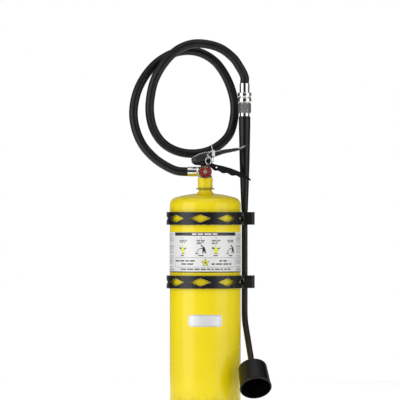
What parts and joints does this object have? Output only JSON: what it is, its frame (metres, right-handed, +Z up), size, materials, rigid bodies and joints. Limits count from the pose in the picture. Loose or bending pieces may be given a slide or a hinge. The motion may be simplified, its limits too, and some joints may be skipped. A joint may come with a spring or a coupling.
{
  "type": "fire extinguisher with wand applicator",
  "caption": "Upright dry powder fire extinguisher with squeeze valve, pressure gauge, looped discharge hose and a long wand ending in a soft-flow bell, held by two punched bands.",
  "frame": {"origin": "centre of the foot ring's underside, on the floor, on the cylinder's axis", "axes": "+Z up along the cylinder, -Y the front with the gauge and label, +X towards the lever's tip and the wand"},
  "size_m": [0.4081, 0.2914, 1.0466],
  "materials": {
    "yellow_enamel": "glossy powder-coated steel",
    "black_enamel": "satin black powder coat",
    "lever_enamel": "black coat with a bright worn top",
    "nickel_plate": "nickel-plated brass",
    "zinc_steel": "zinc-plated steel",
    "grey_zinc": "dull grey zinc",
    "bright_wire": "bright drawn wire",
    "siphon_alloy": "drawn aluminium",
    "hose_rubber": "smooth black rubber cover",
    "seal_rubber": "black seal rubber",
    "grip_rubber": "smooth moulded grip",
    "bell_plastic": "moulded black plastic",
    "collar_plastic": "yellow plastic ring",
    "seal_plastic": "pale translucent strap",
    "label_film": "printed film",
    "plate_film": "blank silver plate",
    "powder": "dry powder fill",
    "dial_print": "red dial with a green zone",
    "needle_paint": "pale needle",
    "gauge_rim": "dark rim",
    "gauge_glass": "clear lens"
  },
  "bodies": {
    "extinguisher": {"cylinder_shell": "yellow_enamel", "foot_ring": "yellow_enamel", "neck_collar": "yellow_enamel", "service_collar": "collar_plastic", "powder_charge": "powder", "instruction_label": "label_film", "nameplate": "plate_film", "upper_band": "black_enamel", "lower_band": "black_enamel", "upper_wand_hook": "black_enamel", "lower_wand_hook": "black_enamel", "hook_rivets": "zinc_steel", "band_bolts": "zinc_steel", "band_nuts": "zinc_steel", "valve_body": "nickel_plate", "neck_seal": "seal_rubber", "siphon_adapter": "zinc_steel", "siphon_tube": "siphon_alloy", "stem_spring": "bright_wire", "gauge_case": "gauge_rim", "gauge_dial": "dial_print", "gauge_needle_post": "zinc_steel", "gauge_lens": "gauge_glass", "carry_handle": "black_enamel", "handle_rivets": "zinc_steel", "lever_pivot_pin": "zinc_steel", "tamper_seal": "seal_plastic", "outlet_nut": "nickel_plate", "valve_end_ferrule": "nickel_plate", "discharge_hose": "hose_rubber"},
    "lever": {"operating_lever": "lever_enamel"},
    "stem": {"valve_stem": "zinc_steel", "stem_seal": "seal_rubber"},
    "pin": {"safety_pin": "bright_wire"},
    "ring": {"pull_ring": "bright_wire"},
    "needle": {"gauge_needle": "needle_paint"},
    "hose_end": {"wand_end_ferrule": "nickel_plate", "swivel_body": "nickel_plate"},
    "wand": {"swivel_nut": "grey_zinc", "wand_adapter": "nickel_plate", "wand_grip": "grip_rubber", "wand_tube": "black_enamel", "bell_socket": "bell_plastic", "applicator_bell": "bell_plastic"}
  },
  "joints": [
    {"name": "lever_squeeze", "type": "hinge", "parent": "extinguisher", "child": "lever", "pos_m": [-0.031, 0, 0.7007], "axis": [0, 1, 0], "range_deg": [0, 12]},
    {"name": "stem_press", "type": "slide", "parent": "extinguisher", "child": "stem", "axis": [0, 0, -1], "range_m": [0, 0.0068], "deforming": ["stem_spring"]},
    {"name": "pin_pull", "type": "slide", "parent": "extinguisher", "child": "pin", "axis": [0, -1, 0], "range_m": [0, 0.045], "deforming": ["tamper_seal"]},
    {"name": "ring_swing", "type": "hinge", "parent": "pin", "child": "ring", "pos_m": [0.009, -0.027, 0.7074], "axis": [-0.766, 0.6428, 0], "range_deg": [0, 80]},
    {"name": "needle_turn", "type": "hinge", "parent": "extinguisher", "child": "needle", "pos_m": [0, -0.0318, 0.666], "axis": [0, 1, 0], "range_deg": [-90, 60]},
    {"name": "wand_release", "type": "slide", "parent": "extinguisher", "child": "hose_end", "axis": [0.5739, 0.8189, 0], "range_m": [0, 0.06], "deforming": ["discharge_hose"]},
    {"name": "wand_swivel", "type": "hinge", "parent": "hose_end", "child": "wand", "pos_m": [0.11309, 0.05, 0.85], "axis": [0, 0, 1], "range_deg": [0, 160]}
  ],
  "couplings": [
    {"joint": "stem_press", "follows": "lever_squeeze", "m_per_rad": 0.0323}
  ]
}
